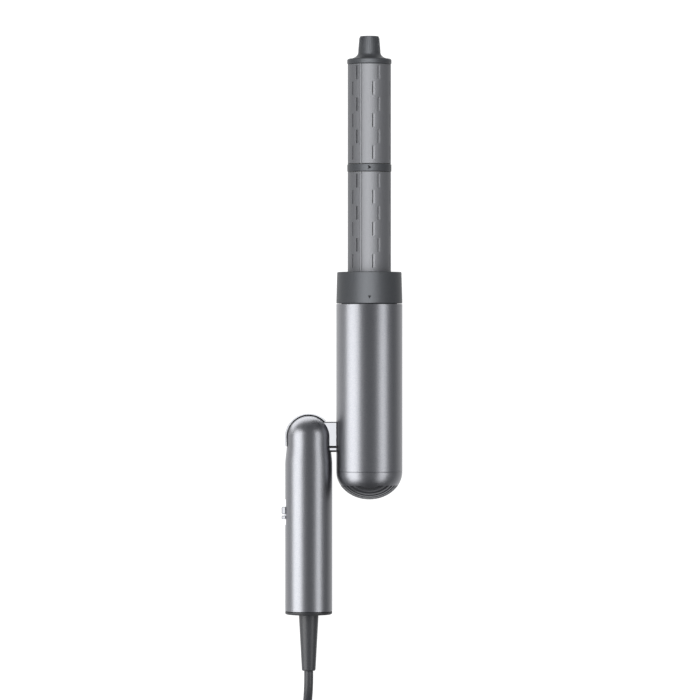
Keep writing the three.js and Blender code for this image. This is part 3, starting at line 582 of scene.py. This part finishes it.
def hank_fold(before, after, top):
    """The points round one end fold, without its ends. The lead changes lane and layer in the top fold."""
    points = []
    for i in range(1, FOLD_STEPS):
        t = i / FOLD_STEPS
        # it climbs first and moves sideways after, so that it clears the turn below
        reach = LANES[before[0]] + (LANES[after[0]] - LANES[before[0]]) * ease(1.6 * t - 0.6)
        height = LAYERS[before[1]] + (LAYERS[after[1]] - LAYERS[before[1]]) * ease(1.6 * t)
        angle = math.pi * (1 - t) if top else -math.pi * t
        y = HANK_TOP if top else HANK_TOP - HANK_RUN
        points.append((HANK_X + reach * math.cos(angle), y + reach * math.sin(angle), height))
    return points


def lead_points():
    """The lead's whole centreline, from the strain relief to the plug."""
    points = list(LEAD_ROUTE)
    for n, turn in enumerate(TURNS):
        last = n == len(TURNS) - 1
        points += hank_run(*turn, 1, 0.75 if last else 1.0)
        if not last:
            points += hank_fold(turn, turn, top=False)
            points += hank_run(*turn, -1)
            points += hank_fold(turn, TURNS[n + 1], top=True)
    return [TABLE_SEAT @ Vector(p) for p in points + TAIL_ROUTE]


def make_lead():
    """The whole mains lead as one round cord, which stands for the frame's three plain solids."""
    data = bpy.data.curves.new("mains_cord", "CURVE")
    data.dimensions = "3D"
    data.bevel_depth = LEAD_R * MM
    data.bevel_resolution = 5
    data.use_fill_caps = True
    points = lead_points()
    spline = data.splines.new("POLY")
    spline.points.add(len(points) - 1)
    for place, point in zip(spline.points, points):
        place.co = (*point, 1)
    data.materials.append(SOFT_PVC)
    made = bpy.data.objects.new("mains_cord", data)
    bpy.context.collection.objects.link(made)
    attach(made, "handle")
    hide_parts("mains_lead", "lead_hank", "lead_tail")
    SILVER_GROUP.objects.link(made)
    return made


PLUG_RIBS = 4
PLUG_RIB_FROM = 6
PLUG_RIB_PITCH = 3.4
BLADE_ROOT = 2  # how far a blade goes up into the plug
TIE_THICK = 0.75
AS_DRAWN = Matrix.Scale(MM, 4)


def plug_pieces():
    """The moulded plug, narrow where the lead comes in and ribbed on its sides, and its two brass blades."""
    low, high = (Vector(c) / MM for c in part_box("plug_body"))
    x = (low.x + high.x) / 2
    half = (high.x - low.x) / 2
    right = [(4.2, high.y), (5.2, high.y - 10), (half, high.y - 18), (half, low.y)]
    corners = [(x + reach, y) for reach, y in right] + [(x - reach, y) for reach, y in reversed(right)]
    bm = slab(rounded(corners, 3.0, 4), low.z, high.z, 2.2)
    for i in range(PLUG_RIBS):
        y = low.y + PLUG_RIB_FROM + PLUG_RIB_PITCH * i
        for side in (-1, 1):
            edge = x + side * half
            boxed(bm, (edge - 0.5, y, low.z + 3), (edge + 0.45, y + 1.6, high.z - 3), 0.4)
    made = [finish_piece(bm, "plug", SOFT_PVC, AS_DRAWN, "handle", ["plug_body"])]
    for side in ("left", "right"):
        pin = f"plug_pin_{side}"
        low, high = (Vector(c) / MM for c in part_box(pin))
        bm = bmesh.new()
        boxed(bm, low, high + Vector((0, BLADE_ROOT, 0)), 0.5, 3)
        made.append(finish_piece(bm, f"plug_blade_{side}", YELLOW_BRASS, AS_DRAWN, "handle", [pin]))
    return made


def make_tie():
    """A hook-and-loop band round the hank's waist."""
    low, high = (Vector(c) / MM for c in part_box("hank_tie"))
    bm = bmesh.new()
    width = high.x - low.x
    profile = rounded([(0, low.z), (-width, low.z), (-width, high.z), (0, high.z), (0, low.z)], 4.0, 4)
    centre = Vector((-width / 2, (low.z + high.z) / 2))
    half = Vector((width / 2, (high.z - low.z) / 2))
    rings = []
    for inset in (0.0, TIE_THICK):
        ring = []
        for point in profile[:-1]:
            out = Vector(point) - centre
            moved = centre + Vector((out.x * (half.x - inset) / half.x, out.y * (half.y - inset) / half.y))
            ring.append((moved.x + high.x, moved.y))
        rings.append(ring)
    loops = []
    for ring, y in ((rings[0], low.y), (rings[0], high.y), (rings[1], high.y), (rings[1], low.y)):
        loops.append([bm.verts.new((px, y, pz)) for px, pz in ring])
    for a, b in zip(loops, [*loops[1:], loops[0]]):
        edges = []
        for loop in (a, b):
            for p, q in zip(loop, [*loop[1:], loop[0]]):
                edges.append(bm.edges.get((p, q)) or bm.edges.new((p, q)))
        bmesh.ops.bridge_loops(bm, edges=edges)
    finish_piece(bm, "lead_tie", BLACK_RUBBER, AS_DRAWN, "handle", ["hank_tie"])


lead = make_lead()
plug = plug_pieces()
make_tie()

# ---- handle ----

SHOULDER_TOP = -5.0
SHOULDER_LOW = -19.0
SHOULDER_STEPS = 12
TRIM_R = 16.4
TRIM_END = 43  # degrees up from the U axis, beside the neck
TRIM_LEG = -6.6  # the band's other end, down the handle's left
TRIM_HALF_W = 3.6
CAP_BOTTOM = -123.3
CAP_HOLE_R = 5.2
BOOT_TOP = -123.6
BOOT_TOP_R = 6.85
BOOT_LOW = -161.3
BOOT_LOW_R = 4.8
BOOT_STEPS = 8
SWITCH_V = -52.25
TRACK_HALF_LENGTH = 17.9 / 2
TRACK_HALF_W = 4.0
WINDOW_GAP = 0.15


def make_handle_tube():
    """The handle's shell: a tube, an eased shoulder and a dome, with the switch's window in its left side."""
    shoulder = []
    for i in range(SHOULDER_STEPS + 1):
        t = i / SHOULDER_STEPS
        radius = HANDLE_R + (DOME_R - HANDLE_R) * ease(t)
        shoulder.append((radius, SHOULDER_LOW + (SHOULDER_TOP - SHOULDER_LOW) * t))
    inner_r = HANDLE_R - HANDLE_WALL
    dome_inner_r = DOME_R - HANDLE_WALL
    outline = [
        (0, dome_inner_r),
        (dome_inner_r, -1),
        (inner_r, -16),
        (inner_r, HANDLE_FOOT),
        (HANDLE_R - 0.15, HANDLE_FOOT),
        (HANDLE_R, HANDLE_FOOT + 0.2),
        *shoulder,
        *arc(0, 0, DOME_R, DOME_R, 0, 90, 20)[:-1],
        (0, DOME_R),
    ]
    bm = spun(outline)
    made = finish_piece(bm, "handle_shell", LACQUER, HANDLE_SEAT, "handle", ["handle_tube"])
    cutter = bmesh.new()
    half_length = TRACK_HALF_LENGTH + WINDOW_GAP
    half_w = TRACK_HALF_W + WINDOW_GAP
    low = (-20, SWITCH_V - half_length, -half_w)
    boxed(cutter, low, (-12, SWITCH_V + half_length, half_w), 1.4, 4)
    carve(made, cutter, HANDLE_SEAT)


def make_dome_trim():
    """The bright band over the dome, from the neck round to a short leg down the handle's left."""
    outline = [
        *arc(0, 0, TRIM_R, TRIM_R, TRIM_END, 180, 40),
        (-TRIM_R, TRIM_LEG),
        (-TRIM_R + 0.85, TRIM_LEG),
        *arc(0, 0, DOME_R + 0.06, DOME_R + 0.06, 180, TRIM_END, 40),
    ]
    bm = slab(outline, -TRIM_HALF_W, TRIM_HALF_W, 0.25)
    finish_piece(bm, "dome_band", SATIN_STEEL, HANDLE_SEAT, "handle", ["dome_trim"])


def make_end_cap():
    """The cap that plugs the handle's foot, with a round lower edge and a spigot up inside the tube."""
    spigot_r, spigot_inner_r, spigot_top, edge = 14.2, 12.6, -112, 1.3
    outline = [
        (CAP_HOLE_R, CAP_BOTTOM),
        (HANDLE_R - edge, CAP_BOTTOM),
        *arc(HANDLE_R - edge, CAP_BOTTOM + 1.1, edge, 1.1, -90, 0, 6)[1:],
        (HANDLE_R, HANDLE_FOOT - 0.35),
        (HANDLE_R - 0.3, HANDLE_FOOT - 0.2),
        (spigot_r, HANDLE_FOOT - 0.2),
        (spigot_r, spigot_top),
        (spigot_inner_r, spigot_top),
        (spigot_inner_r, HANDLE_FOOT),
        (CAP_HOLE_R, HANDLE_FOOT),
    ]
    bm = spun(loop_of(outline))
    finish_piece(
        bm, "handle_foot_cap", CHARCOAL_ABS, HANDLE_SEAT, "handle", ["handle_end_cap"]
    )


def make_strain_relief():
    """The tapered boot on the lead, with a flange held inside the cap and a stub up into the handle."""
    stub_r, stub_top, flange_r, flange_top, flange_low, waist_r = 4.6, -103, 7, -118.5, -120.7, 4.9
    edge = 0.9
    taper = []
    for i in range(BOOT_STEPS + 1):
        t = i / BOOT_STEPS
        taper.append((BOOT_TOP_R + (BOOT_LOW_R - BOOT_TOP_R) * t, BOOT_TOP + (BOOT_LOW - BOOT_TOP) * t))
    outline = [
        (0, stub_top),
        (stub_r, stub_top),
        (stub_r, flange_top),
        (flange_r, flange_top),
        (flange_r, flange_low),
        (waist_r, flange_low),
        (waist_r, BOOT_TOP + 0.2),
        (BOOT_TOP_R - 0.25, BOOT_TOP + 0.2),
        *taper,
        *arc(BOOT_LOW_R - edge, BOOT_LOW, edge, 1.1, 0, -90, 5)[1:],
        (0, BOOT_END),
    ]
    bm = spun(outline)
    finish_piece(bm, "lead_boot", SOFT_PVC, HANDLE_SEAT, "handle", ["strain_relief"])


def make_switch():
    """The recessed track in the handle's side, and the thumb slide: two bright pads, a bridge and a stem."""
    bm = bmesh.new()
    low = (-15.75, SWITCH_V - TRACK_HALF_LENGTH, -TRACK_HALF_W)
    boxed(bm, low, (-13.2, SWITCH_V + TRACK_HALF_LENGTH, TRACK_HALF_W), 1.2, 4)
    track = finish_piece(
        bm, "switch_track", CHARCOAL_ABS, HANDLE_SEAT, "handle", ["switch_bezel"]
    )
    slot_half_length, slot_half_w = 6, 1.9
    cutter = bmesh.new()
    low = (-20, SWITCH_V - slot_half_length, -slot_half_w)
    boxed(cutter, low, (-10, SWITCH_V + slot_half_length, slot_half_w), 1.0, 3)
    carve(track, cutter, HANDLE_SEAT)
    bm = bmesh.new()
    top, bottom = -48.6, -57.1
    groove_top, groove_low = -53.5, -54.8
    pad_face, pad_back, pad_half_w = -HANDLE_R - 2.4, -15.9, 2.8
    boxed(bm, (pad_face, groove_top, -pad_half_w), (pad_back, top, pad_half_w), 0.5, 3)
    boxed(bm, (pad_face, bottom, -pad_half_w), (pad_back, groove_low, pad_half_w), 0.5, 3)
    # the bridge lies under the groove, and the stem goes in to the switch
    boxed(bm, (-HANDLE_R - 0.6, groove_low - 0.6, -1.6), (pad_back, groove_top + 0.6, 1.6))
    boxed(bm, (-16.6, -54.85, -1.5), (-10.9, -50.85, 1.5))
    finish_piece(
        bm, "thumb_slide", SATIN_STEEL, HANDLE_SEAT, "switch_slider", ["slide_knob"]
    )


make_handle_tube()
make_dome_trim()
make_end_cap()
make_strain_relief()
make_switch()

# ---- hinge ----

NECK_NEAR = 10.2
NECK_FAR = 19.1
NECK_HALF_W = 4.8


def neck_bar(name, low, top, half_w, edge, material, replaced=()):
    """A bar from the dome to the blower, flat on its faces, between two heights."""
    middle_v = (low + top) / 2
    quarter = rounded([(half_w, middle_v), (half_w, top), (0, top)], edge)
    upper = quarter + [(-w, v) for w, v in reversed(quarter[:-1])]
    lower = [(w, 2 * middle_v - v) for w, v in reversed(upper[1:-1])]
    bm = slab(upper + lower, -NECK_FAR, -NECK_NEAR)
    turn_about_v(bm, -90)
    finish_piece(bm, name, material, HANDLE_SEAT, "handle", replaced)


def make_hinge_neck():
    """The bright arm fixed in the dome. A black core behind it shows in a groove near its foot and at both
    edges: painted dark reflection, where the polished arm would mirror the dim room.
    """
    neck_bar("hinge_arm", -6.35, 10.0, NECK_HALF_W, edge=0.4, material=SATIN_STEEL, replaced=["hinge_neck"])
    neck_bar("hinge_arm_lip", -9.35, -7.6, NECK_HALF_W, edge=0.3, material=SATIN_STEEL)
    # painted shade: the black core stands in for the dark reflected bands at the arm's top edge, in its
    # groove and under its lip
    neck_bar("hinge_arm_painted_shade_core", -10.5, 10.4, NECK_HALF_W - 0.5, edge=0.6, material=BLACK_RUBBER)


make_hinge_neck()

# ---- blower ----

SEAM = -24.1  # where the inlet cap meets the tube
BLOWER_WALL = 2
DOME_DEPTH = 19.4
DOME_WALL = 1.7
SLOTS = 14
SLOT_PITCH = 2.8
SLOT_HALF_W = 0.8
SLOT_TOP = -33.5
KEEL_HALF_W = 0.8
KEEL_FROM, KEEL_TO = -155, -25  # degrees


def make_blower_tube():
    """The blower's shell, open at both ends, with its edges eased."""
    wall = [
        (BLOWER_R - 0.1, SEAM + 0.12),
        (BLOWER_R, SEAM + 0.25),
        (BLOWER_R, BLOWER_TOP - 0.2),
        (BLOWER_R - 0.25, BLOWER_TOP),
    ]
    inner_r = BLOWER_R - BLOWER_WALL
    outline = [(inner_r, SEAM + 0.14), *rounded(wall, 0.2), (inner_r, BLOWER_TOP)]
    bm = spun(loop_of(outline), 128)
    finish_piece(bm, "blower_shell", LACQUER, BLOWER_SEAT, "blower", ["blower_tube"])


def make_inlet_cap():
    """The dome at the blower's foot. Slots run across it below a smooth belt, and a keel ties the ribs."""
    inner_r = BLOWER_R - DOME_WALL
    spigot_r, spigot_inner_r, spigot_top = 20.65, 19.1, SEAM + 5.5
    outer = arc(0, SEAM, BLOWER_R, DOME_DEPTH, -90, 0, 24)
    lining = arc(0, SEAM, inner_r, DOME_DEPTH - DOME_WALL, 0, -90, 16)
    outline = [
        (0, SEAM - DOME_DEPTH),
        *outer[1:-1],
        (BLOWER_R, SEAM - 0.1),
        (BLOWER_R - 0.1, SEAM + 0.02),
        (spigot_r, SEAM),
        (spigot_r, spigot_top),
        (spigot_inner_r, spigot_top),
        (spigot_inner_r, SEAM - 1),
        *[p for p in lining[:-1] if p[1] < SEAM - 2],
        (0, SEAM - DOME_DEPTH + DOME_WALL),
    ]
    bm = spun(outline, 96)
    made = finish_piece(bm, "inlet_dome", LACQUER, BLOWER_SEAT, "intake", ["inlet_cap"])
    cutter = bmesh.new()
    for k in range(SLOTS):
        w = (k - (SLOTS - 1) / 2) * SLOT_PITCH
        boxed(cutter, (-30, -50, w - SLOT_HALF_W), (30, SLOT_TOP, w + SLOT_HALF_W))
    carve(made, cutter, BLOWER_SEAT, CHARCOAL_ABS)
    keel = [
        *arc(0, SEAM, inner_r + 0.3, DOME_DEPTH - 1.4, KEEL_FROM, KEEL_TO, 24),
        *arc(0, SEAM, inner_r - 1.8, DOME_DEPTH - 3.5, KEEL_TO, KEEL_FROM, 24),
    ]
    bm = slab(keel, -KEEL_HALF_W, KEEL_HALF_W)
    turn_about_v(bm, 90)
    finish_piece(bm, "inlet_keel", CHARCOAL_ABS, BLOWER_SEAT, "intake")


make_blower_tube()
make_inlet_cap()

# ---- curling attachment ----

COLLAR_LOW = 92.6
COLLAR_TOP = 114.4
COLLAR_SOCKET_R = 20.6
COLLAR_SOCKET_TOP = 110.5
COLLAR_LIP_R = 15.3
RING_R = 15.35
RING_INNER_R = 13.5
RING_LOW = 183.9
RING_TOP = 189.3
TIP_R = 15.4
TIP_LOW = 258.6
TIP_END = 278.1
TIP_END_R = 6.5
GRIP_RIBS = 36


def flat_mark(name, outline, radius, v):
    """A small mark printed on the front of the curler, given as points about its own centre."""
    bm = slab(outline, -0.25, 0.04)
    bmesh.ops.translate(bm, verts=bm.verts, vec=(0, v, radius))
    finish_piece(bm, name, PRINT_INK, BLOWER_SEAT, "curler")


def make_collar():
    """The collar that holds the curler on the blower's nose: a socket below, and a lip round the barrel."""
    wall = [
        (BLOWER_R - 0.3, COLLAR_LOW),
        (BLOWER_R, COLLAR_LOW + 0.3),
        (22.36, COLLAR_TOP - 0.3),
        (21.9, COLLAR_TOP),
    ]
    outline = [
        (COLLAR_SOCKET_R, COLLAR_LOW),
        *rounded(wall, 0.3),
        (COLLAR_LIP_R, COLLAR_TOP),
        (COLLAR_LIP_R, COLLAR_SOCKET_TOP),
        (COLLAR_SOCKET_R, COLLAR_SOCKET_TOP),
    ]
    bm = spun(loop_of(outline), 128)
    finish_piece(
        bm, "curler_collar", GREY_LACQUER, BLOWER_SEAT, "curler", ["attachment_collar"]
    )
    flat_mark("collar_mark", [(-1.15, 0.95), (0, -1.15), (1.15, 0.95)], radius=22.87, v=96.9)


CELLS = 144  # divisions round the barrel, 2.5 degrees each
CELL = 360 / CELLS
LOUVRE_CELLS = 3
LOUVRE_DEPTH = 0.4
LOUVRE_LENGTH = 9.4
LOUVRE_PITCH = 22.2
LOUVRE_COLUMNS = 6  # of each set, evenly round the barrel
LOUVRES_UP = 3  # in one column of a barrel half
SEAM_GROOVE = (-22.5, -0.3)  # degrees from the W axis, and how far out
SEAM_LIP = (-25.0, 0.12)


def louvre_rows(lowest):
    """The bottom heights of the two sets of louvres in one barrel half, by their first column's left edge in
    degrees."""
    return {
        -37.5: [lowest + LOUVRE_PITCH * (i + 0.5) for i in range(LOUVRES_UP)],
        -52.5: [lowest + LOUVRE_PITCH * i for i in range(LOUVRES_UP)],
    }


def angle_of(point):
    """Degrees round the V axis from the W axis towards U."""
    return math.degrees(math.atan2(point.x, point.z))


def cell_faces(bm, left, bottom, cells, low_r, high_r):
    """The faces of a louvre that lie between two radii, over a number of cells from its left edge."""
    found = []
    for face in bm.faces:
        centre = face.calc_center_median()
        turn = (angle_of(centre) - left) % 360
        if abs(centre.y - bottom - LOUVRE_LENGTH / 2) > 1 or not 0.3 * CELL < turn < cells * CELL:
            continue
        if low_r < centre.xz.length < high_r:
            found.append(face)
    return found


def press_louvre(bm, left, bottom):
    """One air outlet: a flap flush at its right edge and pressed in at its left, where a slot opens."""
    region = cell_faces(bm, left, bottom, LOUVRE_CELLS, BARREL_R - 0.1, BARREL_R + 0.1)
    made = bmesh.ops.extrude_face_region(bm, geom=region)
    for vert in [g for g in made["geom"] if isinstance(g, bmesh.types.BMVert)]:
        turn = (angle_of(vert.co) - left + 1) % 360 - 1
        depth = LOUVRE_DEPTH * (1 - turn / (LOUVRE_CELLS * CELL)) + 0.01
        scale = (BARREL_R - depth) / BARREL_R
        vert.co.x *= scale
        vert.co.z *= scale
    bmesh.ops.delete(bm, geom=region, context="FACES_KEEP_BOUNDARY")
    ends = cell_faces(bm, left, bottom, 1, BARREL_R - 0.8, BARREL_R - 0.3)
    ends += cell_faces(bm, left, bottom, 1, BARREL_INNER_R - 0.1, BARREL_INNER_R + 0.1)
    rims = [e for f in ends for e in f.edges]
    bmesh.ops.delete(bm, geom=ends, context="FACES_ONLY")
    bmesh.ops.bridge_loops(bm, edges=rims)


def make_barrel(name, bottom, top, lowest, foot, replaced):
    """A barrel half with its louvres pressed in and cut through."""
    rows = louvre_rows(lowest)
    cuts = sorted(h for starts in rows.values() for s in starts for h in (s, s + LOUVRE_LENGTH))
    outer = [(BARREL_R, h) for h in (bottom, *cuts, top)]
    inner = [(BARREL_INNER_R, h) for h in (top, *reversed(cuts))]
    bm = spun(loop_of([*foot, *outer, *inner]), CELLS, start=(0, 0, 1))
    for first, starts in rows.items():
        for column in range(LOUVRE_COLUMNS):
            for start in starts:
                press_louvre(bm, first + 360 / LOUVRE_COLUMNS * column, start)
    press_seam(bm)
    finish_piece(bm, name, BARREL_COAT, BLOWER_SEAT, "curler", [replaced], soft_angle=15)


def press_seam(bm):
    """The lengthwise seam where the sheet laps: a raised lip on its left and a groove on its right."""
    for vert in bm.verts:
        if vert.co.xz.length < BARREL_R - 0.1:
            continue
        for angle, out in (SEAM_GROOVE, SEAM_LIP):
            if abs(angle_of(vert.co) - angle) < 0.5:
                scale = (BARREL_R + out) / BARREL_R
                vert.co.x *= scale
                vert.co.z *= scale


def make_barrel_ring():
    """The ring between the barrel halves, with its printed arrow."""
    wall = [(14.9, RING_LOW), (RING_R, RING_LOW + 0.4), (RING_R, RING_TOP - 0.4), (14.9, RING_TOP)]
    outline = [(RING_INNER_R, RING_LOW), *rounded(wall, 0.3), (RING_INNER_R, RING_TOP)]
    bm = spun(loop_of(outline), 128)
    finish_piece(bm, "barrel_band", GREY_LACQUER, BLOWER_SEAT, "curler", ["barrel_ring"])
    flat_mark("curl_arrow", [(1.5, 0), (-1.3, -1.6), (-0.6, 0), (-1.3, 1.6)], radius=RING_R, v=186.7)


def make_cool_tip():
    """The finger grip at the barrel's end, with fine ribs round its neck."""
    spigot_r, spigot_inner_r, spigot_low, floor = 13.5, 12.9, 251, 260.8
    rim = [(14.9, TIP_LOW), (TIP_R, TIP_LOW + 0.5), (TIP_R, 261.7), (14.7, 262.3)]
    flare = arc(15.0, 266.9, 7.25, 4.6, -95, -180, 10)
    outline = [
        (0, floor),
        (spigot_inner_r, floor),
        (spigot_inner_r, spigot_low),
        (spigot_r, spigot_low),
        (spigot_r, TIP_LOW),
        *rounded(rim, 0.4),
        *flare,
        (7.4, 270),
        *rounded([(6.67, 276.9), (TIP_END_R, TIP_END), (0, TIP_END)], 0.5),
    ]
    bm = spun(outline, 128)
    rib_low, rib_top, rib_half = 267.4, 277.0, 0.24
    for i in range(GRIP_RIBS):
        rib = bmesh.new()
        boxed(rib, (-rib_half, rib_low, 6.4), (rib_half, rib_top, 7.3), 0.12, 2)
        for vert in rib.verts:
            taper = (rib_top - vert.co.y) / (rib_top - rib_low)
            vert.co.z += 0.75 * taper - 0.32
        turn_about_v(rib, 360 * i / GRIP_RIBS)
        scrap = bpy.data.meshes.new("rib")
        rib.to_mesh(scrap)
        rib.free()
        bm.from_mesh(scrap)
        bpy.data.meshes.remove(scrap)
    finish_piece(bm, "cool_grip", GREY_LACQUER, BLOWER_SEAT, "tip", ["cool_tip"])


LOWER_FROM, LOWER_TO, LOWER_LOUVRES = 110.2, 183.6, 117.2
UPPER_FROM, UPPER_TO, UPPER_LOUVRES = 189.6, 258.3, 192.3
# A flange keeps the lower half in the collar; the upper half has a plain end.
FLANGED = [(BARREL_INNER_R, 108.9), (17.2, 108.9), (17.2, LOWER_FROM)]
PLAIN = [(BARREL_INNER_R, UPPER_FROM)]

make_collar()
make_barrel("lower_barrel_skin", LOWER_FROM, LOWER_TO, LOWER_LOUVRES, FLANGED, "lower_barrel")
make_barrel_ring()
make_barrel("upper_barrel_skin", UPPER_FROM, UPPER_TO, UPPER_LOUVRES, PLAIN, "upper_barrel")
make_cool_tip()

# ---- finishes of the inner pieces, which are the frame's own ----

INNER = {
    BRIGHT_STEEL: [
        "clamp_screw_left", "clamp_screw_right", "heat_sink", "hinge_wave_washer", "hinge_axle",
        "hinge_retaining_ring", "hinge_flange", "inlet_filter", "motor_housing", "lower_bearing",
        "upper_bearing", "rotor_shaft", "rotor_magnet", "heater_coil", "thermal_cutout",
    ],
    CHARCOAL_ABS: [
        "switch_body", "bearing_spider", "diffuser_vanes", "impeller", "outlet_nose", "outlet_grille",
    ],
    SOFT_PVC: ["hinge_harness"],
    BLACK_RUBBER: ["motor_mount", "nose_seal_ring"],
    YELLOW_BRASS: ["hinge_bush", "motor_stator", "suppression_capacitor"],
    WHITE_NYLON: ["cord_clamp_base", "cord_clamp", "hinge_housing", "diverter_sleeve"],
    MICA_SHEET: ["heater_sleeve", "heater_frame"],
    SOLDER_MASK: ["control_board"],
}
for finish, names in INNER.items():
    for name in names:
        mesh = bpy.data.objects[name].data
        mesh.materials.clear()
        mesh.materials.append(finish)
        SILVER_GROUP.objects.link(bpy.data.objects[name])
